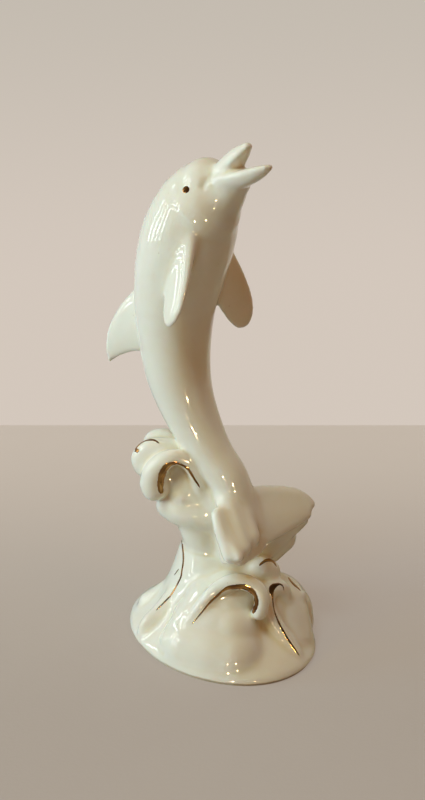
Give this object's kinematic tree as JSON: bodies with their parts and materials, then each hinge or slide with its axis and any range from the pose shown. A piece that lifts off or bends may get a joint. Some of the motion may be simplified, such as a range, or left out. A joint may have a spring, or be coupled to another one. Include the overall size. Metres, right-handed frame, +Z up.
{
  "type": "dolphin figurine",
  "caption": "Glazed porcelain figurine of a leaping dolphin whose tail rests on a curling wave with gilded crest lines, standing on a flat oval foot.",
  "frame": {"origin": "middle of the flat foot, on the surface that the figurine stands on", "axes": "+Z up, +X the way that the dolphin's belly and beak turn, -Y the dolphin's right side"},
  "size_m": [0.0685, 0.0672, 0.1643],
  "materials": {
    "glaze": "clear glossy glaze over ivory porcelain"
  },
  "bodies": {
    "root": {"figurine": "glaze"}
  },
  "joints": []
}
